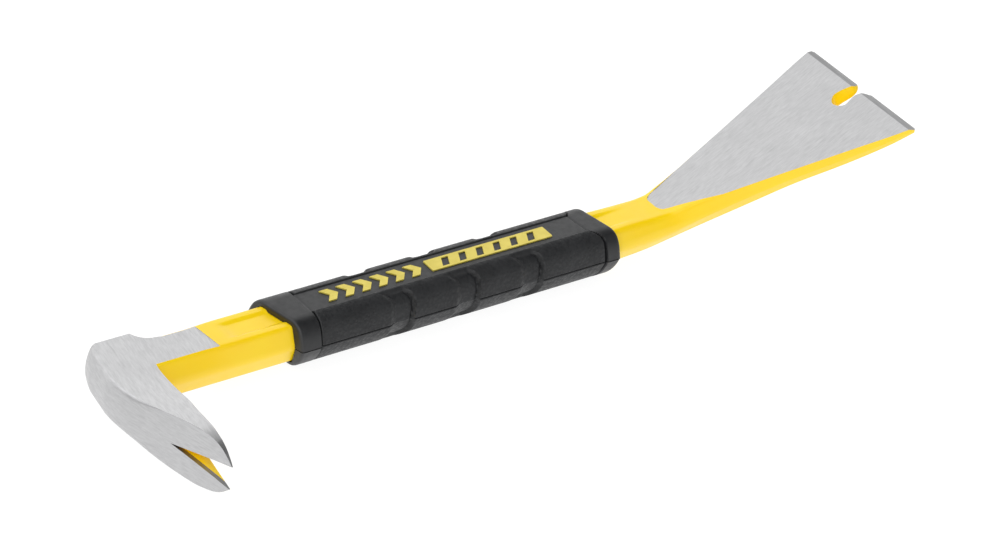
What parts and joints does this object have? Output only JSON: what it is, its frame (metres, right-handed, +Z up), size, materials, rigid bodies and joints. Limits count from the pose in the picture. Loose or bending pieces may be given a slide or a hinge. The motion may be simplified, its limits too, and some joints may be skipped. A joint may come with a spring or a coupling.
{
  "type": "pry bar",
  "caption": "Forged pry bar: sideways V-slotted nail claw with a hammer face, six-sided shank in a moulded grip, and an upturned flared blade with a nail notch.",
  "frame": {"origin": "middle of the flat underside of the grip, on the bar's length line, on the surface the bar lies on", "axes": "+X along the bar from the claw end to the blade end, +Y away from the claw's tips (the hammer face looks to +Y), +Z up, towards the side the blade rises to"},
  "size_m": [0.25, 0.0695, 0.0349],
  "materials": {
    "yellow_paint": "gloss powder coat over forged steel, ground bare on the claw, the head and the blade's upper face",
    "shell_plastic": "satin charcoal moulding",
    "soft_grip": "matt charcoal soft-touch moulding with a fine grain",
    "gold_trim": "pale gold raised trim"
  },
  "bodies": {
    "root": {"forged_bar": "yellow_paint", "grip_upper_shell": "shell_plastic", "grip_lower_shell": "shell_plastic", "upper_pad_claw_side": "soft_grip", "lower_pad_claw_side": "soft_grip", "upper_pad_strike_side": "soft_grip", "lower_pad_strike_side": "soft_grip", "chevron_1": "gold_trim", "chevron_2": "gold_trim", "chevron_3": "gold_trim", "chevron_4": "gold_trim", "chevron_5": "gold_trim", "chevron_6": "gold_trim", "slotted_badge": "gold_trim"}
  },
  "joints": []
}
